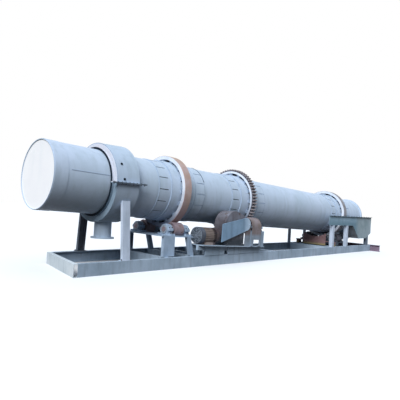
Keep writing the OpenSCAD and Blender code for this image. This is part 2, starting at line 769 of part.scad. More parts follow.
module drive_coupling() {
    color("sienna") along(coupling_start, pinion_y, pinion_w_pos) tube(coupling_l, coupling_r, pinion_shaft_d / 2);
}

// Drum: plain shell, rings and girth gear on wrapped seats with spacer blocks
module drum_shell() {
    color("lightsteelblue") along(-drum_left) tube(drum_left + drum_right, drum_r, bore_r);
}
module drum_flights() {
    start = -drum_left + disc_recess + disc_t + flight_gap;
    len = drum_right - flight_gap - start;
    color("gray") for (i = [0 : flight_count - 1]) along(start) rotate((i + 0.5) * 360 / flight_count)
        intersection() {
            cylinder(h = len, r = bore_r - fit_gap);
            translate([bore_r - flight_h, -flight_t / 2, 0]) union() {
                cube([flight_h, flight_t, len]);
                cube([flight_t, flight_h / 2, len]);
            }
        }
}
module end_disc() {
    color("white") along(-drum_left + disc_recess) cylinder(h = disc_t, r = bore_r - fit_gap);
}
module end_ring() {
    color("dimgray") along(drum_right - end_ring_w) tube(end_ring_w, drum_r + end_ring_h, drum_r);
}
module rim_band() {
    color("lightsteelblue") along(-drum_left + disc_recess) tube(band_w, drum_r + band_t, drum_r);
}
module tyre(a) {
    half = tyre_w / 2;
    color("sienna") along(a) rotate_extrude() polygon([
        [tyre_in, -half], [tyre_r - tyre_edge, -half], [tyre_r, tyre_edge - half],
        [tyre_r, half - tyre_edge], [tyre_r - tyre_edge, half], [tyre_in, half]
    ]);
}
module tyre_1() { tyre(tyre_1_a); }
module tyre_2() { tyre(tyre_2_a); }
module ring_seat(a, width, ro) {
    // Stepped wrapper with slit ends, and the blocks that carry a ring of the given width and bore
    profile = [
        [drum_r, -wrap_len / 2], [wrap_r, -wrap_len / 2], [wrap_r, -seat_len / 2], [seat_r, -seat_len / 2],
        [seat_r, seat_len / 2], [wrap_r, seat_len / 2], [wrap_r, wrap_len / 2], [drum_r, wrap_len / 2]
    ];
    pitch = 360 / spacer_count;
    color("lightsteelblue") along(a) {
        difference() {
            rotate_extrude() polygon(profile);
            for (i = [0 : spacer_count - 1], end = [-wrap_len / 2, wrap_len / 2 - slit_l])
                rotate(i * pitch) translate([drum_r - seat_t, -slit_w / 2, end - eps])
                    cube([2 * seat_t + wrap_t, slit_w, slit_l + 2 * eps]);
        }
        for (i = [0 : spacer_count - 1]) rotate(i * pitch) intersection() {
            translate([0, 0, -width / 2]) tube(width, ro - fit_gap, wrap_r);
            translate([0, -spacer_w / 2, -width]) cube([far, spacer_w, 2 * width]);
        }
    }
}
module tyre_seat_1() { ring_seat(tyre_1_a, tyre_w, tyre_in); }
module tyre_seat_2() { ring_seat(tyre_2_a, tyre_w, tyre_in); }
module gear_seat() { ring_seat(gear_a, gear_w, gear_in); }
module girth_gear() {
    color("rosybrown") along(gear_a - gear_w / 2) difference() {
        rotate(mesh_turn + 180 / gear_teeth) linear_extrude(gear_w) polygon(gear_outline(gear_teeth));
        translate([0, 0, -eps]) cylinder(h = gear_w + 2 * eps, r = gear_in);
    }
}

skid_beam_front();
skid_beam_rear();
end_beam_left();
end_beam_right();
cross_beams();
hood_upper();
hood_lower();
spout();
hood_leg_front();
hood_leg_rear();
roller_table_1();
roller_table_2();
roller_blocks_1();
roller_blocks_2();
casing_wall_front();
casing_wall_rear();
casing_hopper();
casing_legs_front();
casing_legs_rear();
drive_plinth();
motor();
reducer();
reducer_guard();
coupling_guard();
pinion_pedestals();
pinion_blocks();
drum_shell();
drum_flights();
end_disc();
end_ring();
rim_band();
tyre_1();
tyre_2();
tyre_seat_1();
tyre_seat_2();
girth_gear();
gear_seat();
pinion();
drive_coupling();
roller_1_front();
roller_1_rear();
roller_2_front();
roller_2_rear();
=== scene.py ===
import math

import bmesh
import bpy
from mathutils import Matrix, Vector


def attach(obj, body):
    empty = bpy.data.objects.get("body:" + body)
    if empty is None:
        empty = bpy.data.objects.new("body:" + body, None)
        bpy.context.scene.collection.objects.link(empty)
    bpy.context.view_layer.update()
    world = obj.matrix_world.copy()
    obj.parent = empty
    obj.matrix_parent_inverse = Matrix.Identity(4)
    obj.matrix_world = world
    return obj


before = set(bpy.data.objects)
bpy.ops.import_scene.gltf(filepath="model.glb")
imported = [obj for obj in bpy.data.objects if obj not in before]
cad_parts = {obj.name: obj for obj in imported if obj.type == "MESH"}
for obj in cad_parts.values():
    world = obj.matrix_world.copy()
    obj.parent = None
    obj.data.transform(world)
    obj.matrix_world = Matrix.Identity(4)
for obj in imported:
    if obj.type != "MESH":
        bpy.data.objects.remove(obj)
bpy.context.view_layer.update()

# Sizes of the dryer that the dressing follows, in metres, in the CAD frame.
# The drum's own frame has a along its axis, y across and w up from the axis.

# Drum: fall of its axis, height of the axis at the origin, shell radius
SLOPE = math.radians(2.29)
AXIS_Z = 1.40501
DRUM_R = 0.600
# Riding rings and girth gear: places along the drum and radii
TYRE_A = (-3.232, 4.014)
TYRE_R = 0.760
TYRE_BORE = 0.680
GEAR_A = -0.982
GEAR_ROOT = 0.738
GEAR_BORE = 0.688
# Wrapper plates and raised seats under the rings, and the slits in the wrappers' ends
WRAP_HALF = 0.640
WRAP_T = 0.014
SEAT_HALF = 0.320
SEAT_T = 0.034
SLIT_COUNT = 16
SLIT_L = 0.230
SLIT_W = 0.016
# Shafts of the rollers and the pinion, and their bearing blocks
ROLLER_Y = 0.45515
ROLLER_W = -0.78834
SHAFT_R = 0.050
PINION_Y = -0.73540
PINION_W = -0.61708
PINION_SHAFT_R = 0.055
PINION_BLOCK_A = 0.200
BLOCK_A = 0.235
BLOCK_L = 0.140
BLOCK_C = 0.115
BLOCK_CAP = 0.104
BLOCK_W = 0.380
BLOCK_FOOT = 0.034
# Drive: plinth, input shaft, reducer with its hump, guard sheet and motor
PLINTH_W = -1.05745
PLINTH_T = 0.020
INPUT_W = -0.86745
REDUCER_END = -1.472
REDUCER_HALF_W = 0.165
HUMP_A = -1.813
HUMP_R = 0.331
JOINT_T = 0.018
JOINT_W = 0.034
GUARD_T = 0.030
MOTOR_START = -2.872
MOTOR_L = 0.540
MOTOR_FLANGE = 0.070
# Feed hood: centre, radius, length, end collars and split flanges
HOOD_X = -4.71542
HOOD_Z = 1.59358
HOOD_R = 0.738
HOOD_LEN = 0.492
COLLAR_L = 0.040
COLLAR_IN = 0.625
SPLIT_W = 0.060
SPLIT_T = 0.012
SPLIT_OVER = 0.130
# Discharge casing and skid
CASING_LEFT = 2.85078
CASING_RIGHT = 6.0395
CASING_TOP = 1.19981
CASING_Y = 0.795
SKID_HALF_W = 0.801
BEAM_H = 0.220
BEAM_LIP = 0.011

TILT = Matrix.Translation((0, 0, AXIS_Z)) @ Matrix.Rotation(SLOPE, 4, "Y")
# Turns a shape whose own axis is Z so that it runs along X, and so that it points along -X
ALONG_X = Matrix.Rotation(math.pi / 2, 4, "Y")
BACK_X = Matrix.Rotation(-math.pi / 2, 4, "Y")
# Turns a shape whose own axis is Z so that it points to the drive side
TO_FRONT = Matrix.Rotation(math.pi / 2, 4, "X")


def at(x, y, z):
    """A place in the skid's frame."""
    return Matrix.Translation((x, y, z))


def on_drum(a, y=0.0, w=0.0):
    """A place in the inclined drum's frame."""
    return TILT @ Matrix.Translation((a, y, w))


# Materials

# Noise values between which one tone gives way to the next
CLOUD_EDGES = (0.36, 0.66)
STREAK_EDGES = (0.5, 0.78)
PATCH_EDGES = (0.3, 0.7)
RUST_EDGE = 0.07
# The most that streaks and rust hide of what lies under them, and the roughness of rust
STREAK_COVER = 0.6
RUST_COVER = 0.9
RUST_ROUGH = 0.88
# Streaks run upright: their pattern is read this much more slowly along Z
STREAK_RISE = 0.16
# A zone's edge frays by this much with the spots, and its share is carried past 1 so that it still closes
FRAY = (-0.31, -0.01)
ZONE_SHARE = 1.1
# Roughness varies by this much below and above a finish's own value
ROUGH_DROP = 0.1
ROUGH_RISE = 0.14
# Length of the waves in rolled plate, in millimetres
WAVE = 500


def linear(code):
    """A colour written as sRGB hex, as Blender's linear red, green, blue and alpha."""
    parts = [int(code[i:i + 2], 16) / 255 for i in (1, 3, 5)]
    return [p / 12.92 if p <= 0.04045 else ((p + 0.055) / 1.055) ** 2.4 for p in parts] + [1.0]


def add(tree, kind, feeds=None, **settings):
    """One shader node with its settings; feeds gives an input a number, a colour or another node's output."""
    node = tree.nodes.new("ShaderNode" + kind)
    for name, value in settings.items():
        setattr(node, name, value)
    for name, value in (feeds or {}).items():
        if isinstance(value, bpy.types.NodeSocket):
            tree.links.new(value, node.inputs[name])
        else:
            node.inputs[name].default_value = value
    return node


def reading(tree, axis):
    """A surface point's x, y or z, its place a along the drum or its distance r from the drum's axis."""
    spot = add(tree, "TexCoord").outputs["Object"]
    if axis in "ar":
        lowered = add(tree, "VectorMath", {0: spot, 1: (0, 0, AXIS_Z)}, operation="SUBTRACT")
        spot = add(tree, "VectorRotate", {"Vector": lowered.outputs[0], "Angle": -SLOPE},
                   rotation_type="Y_AXIS").outputs[0]
    split = add(tree, "SeparateXYZ", {0: spot})
    if axis == "r":
        across = add(tree, "CombineXYZ", {"Y": split.outputs["Y"], "Z": split.outputs["Z"]})
        return add(tree, "VectorMath", {0: across.outputs[0]}, operation="LENGTH").outputs["Value"]
    return split.outputs["X" if axis == "a" else axis.upper()]


def weathered(name, coat, worn, grime, rust, cloud=900, streak=140, spot=220, rusty=0.66, rough=0.55,
              shine=0.2, metal=0.0, dent=0.0, grit=9, zones=()):
    """A painted or bare metal that has stood outdoors.

    coat, worn, grime and rust are colours. cloud, streak, spot and grit are the patterns' sizes, and dent
    the depth of the plate's waves, in millimetres. rusty is the noise value above which rust shows.
    A zone is an axis, where it starts, where it is full, two colours that cloud into each other, a roughness.
    """
    skin = bpy.data.materials.new(name)
    skin.use_nodes = True
    tree = skin.node_tree
    shader = tree.nodes["Principled BSDF"]
    where = add(tree, "TexCoord").outputs["Object"]
    clouds = add(tree, "TexNoise", {"Vector": where, "Scale": 1000 / cloud, "Detail": 5.0, "Roughness": 0.6})
    cloud_share = add(tree, "MapRange", {"Value": clouds.outputs["Fac"], "From Min": CLOUD_EDGES[0],
                                         "From Max": CLOUD_EDGES[1]})
    colour = add(tree, "Mix", {0: cloud_share.outputs[0], 6: linear(coat), 7: linear(worn)},
                 data_type="RGBA")
    # Rain and dust leave streaks that are long upright and narrow along the machine
    drawn = add(tree, "Mapping", {"Vector": where, "Scale": (1.0, 1.0, STREAK_RISE)})
    streaks = add(tree, "TexNoise", {"Vector": drawn.outputs[0], "Scale": 1000 / streak, "Detail": 4.0})
    streak_share = add(tree, "MapRange", {"Value": streaks.outputs["Fac"], "From Min": STREAK_EDGES[0],
                                          "From Max": STREAK_EDGES[1], "To Max": STREAK_COVER})
    colour = add(tree, "Mix", {0: streak_share.outputs[0], 6: colour.outputs[2], 7: linear(grime)},
                 data_type="RGBA")
    spots = add(tree, "TexNoise", {"Vector": where, "Scale": 1000 / spot, "Detail": 8.0, "Roughness": 0.68})
    rust_share = add(tree, "MapRange", {"Value": spots.outputs["Fac"], "From Min": rusty,
                                        "From Max": rusty + RUST_EDGE, "To Max": RUST_COVER})
    colour = add(tree, "Mix", {0: rust_share.outputs[0], 6: colour.outputs[2], 7: linear(rust)},
                 data_type="RGBA")
    gloss = add(tree, "MapRange", {"Value": clouds.outputs["Fac"], "To Min": rough - ROUGH_DROP,
                                   "To Max": rough + ROUGH_RISE})
    gloss = add(tree, "Mix", {0: rust_share.outputs[0], 2: gloss.outputs[0], 3: RUST_ROUGH})
    for axis, start, full, tone, other, zone_rough in zones:
        patchy = add(tree, "MapRange", {"Value": spots.outputs["Fac"], "From Min": PATCH_EDGES[0],
                                        "From Max": PATCH_EDGES[1], "To Min": FRAY[0], "To Max": FRAY[1]})
        share = add(tree, "MapRange", {"Value": reading(tree, axis), "From Min": start, "From Max": full,
                                       "To Max": ZONE_SHARE})
        share = add(tree, "Math", {0: share.outputs[0], 1: patchy.outputs[0]}, operation="ADD",
                    use_clamp=True)
        tones = add(tree, "Mix", {0: cloud_share.outputs[0], 6: linear(tone), 7: linear(other)},
                    data_type="RGBA")
        colour = add(tree, "Mix", {0: share.outputs[0], 6: colour.outputs[2], 7: tones.outputs[2]},
                     data_type="RGBA")
        gloss = add(tree, "Mix", {0: share.outputs[0], 2: gloss.outputs[0], 3: zone_rough})
    tree.links.new(colour.outputs[2], shader.inputs["Base Color"])
    tree.links.new(gloss.outputs[0], shader.inputs["Roughness"])
    shader.inputs["Metallic"].default_value = metal
    shader.inputs["Specular IOR Level"].default_value = shine
    # The skin's own grain, drawn coarser than real so that it shows, then the plate's waves
    grain = add(tree, "TexNoise", {"Vector": where, "Scale": 1000 / grit, "Detail": 3.0})
    bump = add(tree, "Bump", {"Height": grain.outputs["Fac"], "Strength": 0.25, "Distance": 0.001})
    if dent:
        waves = add(tree, "TexNoise", {"Vector": where, "Scale": 1000 / WAVE, "Detail": 2.0})
        bump = add(tree, "Bump", {"Height": waves.outputs["Fac"], "Strength": 1.0, "Distance": dent / 1000,
                                  "Normal": bump.outputs[0]})
    tree.links.new(bump.outputs[0], shader.inputs["Normal"])
    return skin


# Where the finishes change: an axis, where the change starts and where it is full, in metres
SPACERS = ("r", DRUM_R + SEAT_T + 0.001, DRUM_R + SEAT_T + 0.005)
HOOD_END_PLATE = ("x", HOOD_X - HOOD_LEN / 2 + 0.004, HOOD_X - HOOD_LEN / 2 + 0.001)
SPLIT_EDGE_FRONT = ("y", -(HOOD_R + SPLIT_W - 0.008), -(HOOD_R + SPLIT_W - 0.002))
SPLIT_EDGE_REAR = ("y", HOOD_R + SPLIT_W - 0.008, HOOD_R + SPLIT_W - 0.002)
LAST_CASING_LEG = ("x", 5.30, 5.40)
RING_UNDERSIDE = ("z", 1.75, 0.90)
RUNNING_FACE = ("r", TYRE_R - 0.010, TYRE_R - 0.004)
GEAR_UNDERSIDE = ("z", 1.70, 1.00)
TOOTH_ROOTS = ("r", GEAR_ROOT - 0.004, GEAR_ROOT + 0.004)
TOOTH_TIPS = ("r", GEAR_ROOT + 0.022, GEAR_ROOT + 0.040)
BEHIND_SHIELD = ("x", 3.52, 3.60)
STATION_FOOT = ("z", 0.33, 0.24)
CASING_SKIRT = ("z", 1.10, 0.96)
OVER_HOPPER = ("x", 4.70, 5.00)
FAN_COWL = ("a", MOTOR_START + 0.14, MOTOR_START + 0.11)
FRONT_FLANGE = ("a", MOTOR_START + MOTOR_L - 0.17, MOTOR_START + MOTOR_L - 0.13)
REDUCER_INPUT = ("a", HUMP_A - HUMP_R + 0.12, HUMP_A - HUMP_R - 0.04)
REDUCER_FOOT = ("z", 0.68, 0.52)
GUARD_ROUND_END = ("a", -1.62, -1.40)
COVER_SKIRT = ("z", 0.70, 0.62)

# Oil paint brushed on rolled plate: pale blue-grey, chalked by the sun, with clouds and thin rain streaks
drum_paint = weathered("oil_paint_on_rolled_plate", "#bdcde2", "#b1c3d5", "#9eb0bd", "#86756a",
                       rusty=0.75, dent=6.0)
# The rings' seats: the drum's paint, with the spacer blocks that stand on them painted dark as painted shade
# in the slots under the rings
seat_paint = weathered("oil_paint_on_ring_seats", "#bdcde2", "#b1c3d5", "#9eb0bd", "#86756a",
                       rusty=0.75, dent=4.0, zones=((*SPACERS, "#7d8ea5", "#6a7a8d", 0.6),))
# Thicker paint over the welds, darker than the shell's as painted shade, which keeps the welds' lit faces
# close to the tone of the shell beside them
weld_paint = weathered("paint_over_fillet_welds", "#a3b5cc", "#97a9be", "#8292a3", "#6b5c52",
                       cloud=200, rusty=0.72)
# The drum's paint on the hood: a chalky coat on the feed-side end plate, darker on the flanges' outer edges
hood_paint = weathered("oil_paint_on_hood_plate", "#b8cae0", "#abbed0", "#95a5b3", "#86756a",
                       rusty=0.74, dent=5.0,
                       zones=((*HOOD_END_PLATE, "#cdd8e6", "#d3d3dd", 0.65),
                              (*SPLIT_EDGE_FRONT, "#4b5765", "#404b57", 0.6),
                              (*SPLIT_EDGE_REAR, "#4b5765", "#404b57", 0.6)))
# A darker copy of the hood's paint for the lower half, as painted shade, with its end plate painted duller
# than above
shaded_lower_hood_paint = weathered("shaded_paint_on_lower_hood_plate", "#b4c5da", "#a7b9ca", "#90a0ae", "#86756a",
                             rusty=0.73, dent=5.0,
                             zones=((*HOOD_END_PLATE, "#8da2b4", "#7b90a2", 0.65),
                                    (*SPLIT_EDGE_FRONT, "#4b5765", "#404b57", 0.6),
                                    (*SPLIT_EDGE_REAR, "#4b5765", "#404b57", 0.6)))
# White enamel on the flat closing disc, a little chalky
disc_paint = weathered("white_enamel_plate", "#f6f8fa", "#f0f2f6", "#e8edf2", "#d5cfc6",
                       cloud=700, rusty=0.8, rough=0.5, dent=2.0)
# Pale grey primer on legs and posts; the last casing leg is darker
post_paint = weathered("pale_primer_on_section_steel", "#c9d6ea", "#b6c5d8", "#8f9dab", "#86695a",
                       cloud=400, rusty=0.68, zones=((*LAST_CASING_LEG, "#566270", "#48525e", 0.65),))
# Painted shade: dark grey-blue on the channel of the legs on the far side, which stand in shade
shaded_post = weathered("shaded_paint_on_far_legs", "#77818f", "#69727f", "#555c66", "#6b5348",
                      cloud=300, rusty=0.64)
# Grey-blue paint on the skid's channels, dusty and knocked about
skid_paint = weathered("dusty_paint_on_channel_steel", "#b0c3d7", "#96aabd", "#7c8a99", "#77604f",
                       cloud=600, streak=90, rusty=0.66, rough=0.65)
# The same paint made almost white on the channel across the feed end, as painted light on its sunlit face
end_channel_paint = weathered("painted_light_on_end_channel", "#dbe6ee", "#c6d4de", "#a3b2bc", "#86756a",
                              cloud=500, streak=90, rusty=0.72, rough=0.7)
# Pale blue-grey paint on the feed end table and its bearing housings
table_paint = weathered("paint_on_welded_table", "#a9bdd4", "#8fa3b9", "#6b7b8b", "#6b5348",
                        cloud=250, streak=70, rusty=0.65, grit=14)
# Rolled steel ring: painted side faces, painted shade darkening them towards the bottom, and a bare running
# face with mauve rust and tan dust
tyre_steel = weathered("riding_ring_steel", "#e3e9f4", "#d3dcea", "#b6c1cf", "#9a8578",
                       rusty=0.75, spot=160,
                       zones=((*RING_UNDERSIDE, "#5f6b80", "#55617a", 0.6),
                              (*RUNNING_FACE, "#b39a9d", "#a68f78", 0.5)))
# The discharge ring runs duller: grey dust on its running face
dull_tyre_steel = weathered("dusty_riding_ring_steel", "#e1e7f2", "#cfd9e7", "#b2bdcb", "#9a8578",
                            rusty=0.75, spot=160, zones=((*RUNNING_FACE, "#8d8c94", "#6f6c70", 0.55),))
# Cast girth gear: painted rim, painted shade darkening it towards the bottom and between the teeth, tips worn
# pale
gear_steel = weathered("girth_gear_cast_steel", "#dfe7f3", "#cbd6e5", "#adb9c8", "#8a7264",
                       rusty=0.75,
                       zones=((*GEAR_UNDERSIDE, "#64738a", "#586679", 0.6),
                              (*TOOTH_ROOTS, "#3f3c46", "#574d53", 0.45),
                              (*TOOTH_TIPS, "#a49ea2", "#877c7d", 0.5)))
# Rusted machined steel of rollers, pinion and coupling: mauve-brown with worn bright patches,
# darkened on the discharge rollers as painted shade behind the shield
roller_steel = weathered("rusted_machined_steel", "#9a8c96", "#86787c", "#6a5a58", "#75503f",
                         cloud=160, streak=60, spot=90, rusty=0.6, metal=0.25, grit=12,
                         zones=((*BEHIND_SHIELD, "#4a4a54", "#3a3d46", 0.55),))
# Red-brown primer and rust on the discharge-end station, with yellow chromate left near its foot
# and painted shade that darkens everything behind its shield
primer_rust = weathered("red_primer_rusting", "#93777a", "#7f6465", "#665355", "#7d5a50",
                        cloud=300, streak=80, spot=120, rusty=0.58, rough=0.72,
                        zones=((*STATION_FOOT, "#a39a6a", "#8c8468", 0.7),
                               (*BEHIND_SHIELD, "#3d4b57", "#303b45", 0.7)))
# Purple-brown scale on the end beam
scale_rust = weathered("scaled_beam_steel", "#93839a", "#7d6c7c", "#5c5059", "#7a5448",
                       cloud=260, streak=70, spot=110, rusty=0.6, rough=0.75)
# Teal-blue paint on the casing's walls, with painted shade darkening it towards the skirt, and rubbed grey
# over the hopper
casing_paint = weathered("teal_paint_on_sheet", "#93b1c6", "#7fa0b3", "#64808f", "#675a50",
                         cloud=500, rusty=0.7, dent=5.0,
                         zones=((*CASING_SKIRT, "#66869a", "#71909f", 0.6),
                                (*OVER_HOPPER, "#a7b8c2", "#869aa3", 0.6)))
# Hopper plate: mottled grey, half bare
hopper_plate = weathered("mottled_hopper_plate", "#b4bec8", "#96a2aa", "#70797e", "#75655a",
                         cloud=180, streak=120, spot=130, rusty=0.64, rough=0.6, dent=5.0)
# Mill scale on the flights, dark and dull with rust
flight_scale = weathered("mill_scale_plate", "#6a6c70", "#55575b", "#474341", "#6a4a3a",
                         rusty=0.58, rough=0.65, metal=0.3)
# Motor: pale brown primer, with an oily dark cowl at its fan end and a dark front flange
motor_paint = weathered("brown_primer_on_motor", "#a79c98", "#8f837e", "#6c635f", "#7d6656",
                        cloud=150, streak=50, spot=80, rusty=0.62, grit=12,
                        zones=((*FAN_COWL, "#4d5868", "#3c4552", 0.5),
                               (*FRONT_FLANGE, "#4a4044", "#3c3539", 0.5)))
# Reducer casting: brown primer under worn grey paint, oily and dark round the input and the foot
reducer_paint = weathered("worn_paint_on_cast_iron", "#7c7f8b", "#66656d", "#4f4e56", "#564740",
                          cloud=220, streak=70, spot=110, rusty=0.61, grit=16,
                          zones=((*REDUCER_INPUT, "#4a4246", "#3c383e", 0.5),
                                 (*REDUCER_FOOT, "#39424c", "#2c343c", 0.6)))
# Guard sheet: blue-grey paint, paler towards its round end
guard_paint = weathered("blue_paint_on_guard_sheet", "#84a2be", "#718fab", "#586f84", "#66564c",
                        cloud=260, rusty=0.73, rough=0.45, shine=0.3, dent=4.0,
                        zones=((*GUARD_ROUND_END, "#b4cbe2", "#93adca", 0.45),))
# Arched covers: brown primer with most of its grey paint gone, skirts still painted
cover_paint = weathered("worn_primer_on_cover_sheet", "#877f84", "#726764", "#564d4c", "#66483a",
                        cloud=200, spot=110, rusty=0.6, zones=((*COVER_SKIRT, "#93a2b4", "#7f8b98", 0.6),))
# Oiled dark bolts and nuts
bolt_steel = weathered("oiled_black_bolts", "#5a5f67", "#474c54", "#35383d", "#5d4437",
                       cloud=60, streak=30, spot=40, rusty=0.62, rough=0.42, metal=0.5)
# Painted shadow: a dark line for the shadow at the step of the feed ring's wrapper
shadow_line_paint = weathered("painted_shadow_line", "#5c6b7d", "#4d5a69", "#3d4650", "#5c4a40",
                      cloud=120, streak=60, spot=70, rusty=0.66)
# Almost black: painted shade in the slits, gaps and sockets and behind the fan's grille, and the felt of the
# hood's seals
shade_and_felt = weathered("painted_shade_and_felt", "#1d2a38", "#172029", "#11171d", "#2a221e",
                 cloud=90, rusty=0.74, rough=0.7, shine=0.05)
# Worn zinc of the fan grille's wires and the shaft covers
dull_zinc = weathered("dull_zinc", "#a3aebc", "#87929e", "#646c74", "#6e584a",
                      cloud=60, streak=40, spot=60, rusty=0.64, rough=0.45, metal=0.3)

dress = {
    drum_paint: ["drum_shell", "rim_band", "end_ring"],
    seat_paint: ["tyre_seat_1", "tyre_seat_2", "gear_seat"],
    hood_paint: ["hood_upper", "spout"],
    shaded_lower_hood_paint: ["hood_lower"],
    disc_paint: ["end_disc"],
    post_paint: ["hood_leg_front", "casing_legs_front"],
    shaded_post: ["hood_leg_rear", "casing_legs_rear"],
    skid_paint: ["skid_beam_front", "skid_beam_rear", "cross_beams", "drive_plinth", "pinion_pedestals"],
    end_channel_paint: ["end_beam_left"],
    table_paint: ["roller_table_1", "roller_blocks_1", "pinion_blocks"],
    tyre_steel: ["tyre_1"],
    dull_tyre_steel: ["tyre_2"],
    gear_steel: ["girth_gear"],
    roller_steel: ["roller_1_front", "roller_1_rear", "roller_2_front", "roller_2_rear", "pinion",
                   "drive_coupling"],
    primer_rust: ["roller_table_2", "roller_blocks_2"],
    scale_rust: ["end_beam_right"],
    casing_paint: ["casing_wall_front", "casing_wall_rear"],
    hopper_plate: ["casing_hopper"],
    flight_scale: ["drum_flights"],
    motor_paint: ["motor"],
    reducer_paint: ["reducer"],
    guard_paint: ["reducer_guard"],
    cover_paint: ["coupling_guard"],
}
for skin, nodes in dress.items():
    for node in nodes:
        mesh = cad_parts[node].data
        mesh.materials.clear()
        mesh.materials.append(skin)


# Shapes


def piece(name, body, skin, shape):
    """A finished piece that rides on a body, made by a function that fills a bmesh."""
    form = bmesh.new()
    shape(form)
    bmesh.ops.remove_doubles(form, verts=form.verts, dist=1e-5)
    bmesh.ops.recalc_face_normals(form, faces=form.faces)
    mesh = bpy.data.meshes.new(name)
    form.to_mesh(mesh)
    form.free()
    mesh.materials.append(skin)
    thing = bpy.data.objects.new(name, mesh)
    bpy.context.collection.objects.link(thing)
    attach(thing, body)


def bolt(form, spot, r=0.014, h=0.012):
    """A hexagon bolt head on its washer, with the thread's end, standing along the spot's own Z."""
    washer = h * 0.3
    bmesh.ops.create_cone(form, cap_ends=True, segments=16, radius1=r * 1.35, radius2=r * 1.3, depth=washer,
                          matrix=spot @ Matrix.Translation((0, 0, washer / 2)))
    bmesh.ops.create_cone(form, cap_ends=True, segments=6, radius1=r, radius2=r * 0.94, depth=h,
                          matrix=spot @ Matrix.Translation((0, 0, washer + h / 2)))
    bmesh.ops.create_cone(form, cap_ends=True, segments=8, radius1=r * 0.5, radius2=r * 0.45, depth=h * 0.6,
                          matrix=spot @ Matrix.Translation((0, 0, washer + h * 1.3)))


def ring(form, spot, inner, outer, depth, steps=48, sweep=math.tau):
    """A ring, or a part of one, with chamfered outer corners, from a profile spun round the spot's own Z."""
    edge = min(depth, outer - inner) * 0.25
    corners = [(inner, 0), (outer - edge, 0), (outer, edge), (outer, depth - edge), (outer - edge, depth),
               (inner, depth)]
    points = [form.verts.new(spot @ Vector((x, 0, z))) for x, z in corners]
    whole = sweep == math.tau
    lines = [form.edges.new((points[i], points[i - 1])) for i in range(len(points))]
    profile = points + lines if whole else points + lines + [form.faces.new(points)]
    bmesh.ops.spin(form, geom=profile, cent=spot.translation, axis=spot.to_3x3() @ Vector((0, 0, 1)),
                   angle=sweep, steps=steps, use_merge=whole)


def slab(form, spot, size, edge=0.004):
    """A plate with softened edges, centred on the spot."""
    made = bmesh.ops.create_cube(form, size=1.0, matrix=spot @ Matrix.Diagonal((*size, 1)))
    lines = {e for v in made["verts"] for e in v.link_edges}
    bmesh.ops.bevel(form, geom=list(lines), offset=edge, affect="EDGES", segments=2, profile=0.5, material=-1)


def plate(form, corners, thick):
    """A flat plate with the given corners, thickened along a vector."""
    face = form.faces.new([form.verts.new(corner) for corner in corners])
    grown = bmesh.ops.extrude_face_region(form, geom=[face])
    moved = [v for v in grown["geom"] if isinstance(v, bmesh.types.BMVert)]
    bmesh.ops.translate(form, verts=moved, vec=thick)


# Drum: painted-over welds, a dark bead as painted shadow, painted shade in the slits and behind the rings


def girth_welds(form):
    """Fillets at the wrappers' steps, flush with each step, and the lengthwise seam on the feed end."""
    root, wrap_fillet, seat_fillet = 0.002, 0.014, 0.020
    for a in (*TYRE_A, GEAR_A):
        for side, turn in ((-1, BACK_X), (1, ALONG_X)):
            ring(form, on_drum(a + side * WRAP_HALF) @ turn, DRUM_R - root, DRUM_R + WRAP_T, wrap_fillet,
                 steps=96)
            ring(form, on_drum(a + side * SEAT_HALF) @ turn, DRUM_R + WRAP_T - root, DRUM_R + SEAT_T,
                 seat_fillet, steps=96)
    seam_a, seam_size = -5.375, (0.80, 0.008, 0.014)
    spin = Matrix.Rotation(math.radians(169.8), 4, "X")
    slab(form, TILT @ spin @ Matrix.Translation((seam_a, DRUM_R + 0.001, 0)), seam_size, 0.003)


piece("drum_girth_welds", "drum", weld_paint, girth_welds)


def shadow_arc(form):
    """A bead along part of the feed ring's wrapper end, coloured dark as a painted shadow at its step."""
    start, sweep = math.radians(13), math.radians(50)
    width, rise = 0.022, 0.006
    spot = on_drum(TYRE_A[0] + WRAP_HALF - 0.004) @ Matrix.Rotation(start, 4, "X")
    ring(form, spot @ ALONG_X @ Matrix.Rotation(math.pi, 4, "Z"), DRUM_R, DRUM_R + WRAP_T + rise, width,
         steps=30, sweep=sweep)


piece("drum_shadow_arc", "drum", shadow_line_paint, shadow_arc)


def slit_shade(form):
    """Dark strips at the bottom of the slits in the feed end of each wrapper, as painted shade in the slits.
    """
    depth, rise = 0.012, 0.003
    for a in (*TYRE_A, GEAR_A):
        for i in range(SLIT_COUNT):
            turn = Matrix.Rotation(i * math.tau / SLIT_COUNT, 4, "X")
            place = Matrix.Translation((a - WRAP_HALF + SLIT_L / 2, 0, -DRUM_R - rise))
            slab(form, TILT @ turn @ place, (SLIT_L, SLIT_W, depth), 0.002)


piece("slit_shade", "drum", shade_and_felt, slit_shade)


def gap_shade(form):
    """A dark ring between the seats and the rings, half way in, as painted shade in the gap."""
    width = 0.04
    for a, bore in ((TYRE_A[0], TYRE_BORE), (TYRE_A[1], TYRE_BORE), (GEAR_A, GEAR_BORE)):
        ring(form, on_drum(a - width / 2) @ ALONG_X, DRUM_R + SEAT_T - 0.004, bore + 0.002, width, steps=96)


piece("ring_gap_shade", "drum", shade_and_felt, gap_shade)

# Bearings: station, place along the drum, across and up, and shaft radius
bearings = [(k + 1, a + end * BLOCK_A, side * ROLLER_Y, ROLLER_W, SHAFT_R)
            for k, a in enumerate(TYRE_A) for end in (-1, 1) for side in (-1, 1)]
bearings += [(0, GEAR_A + end * PINION_BLOCK_A, PINION_Y, PINION_W, PINION_SHAFT_R) for end in (-1, 1)]

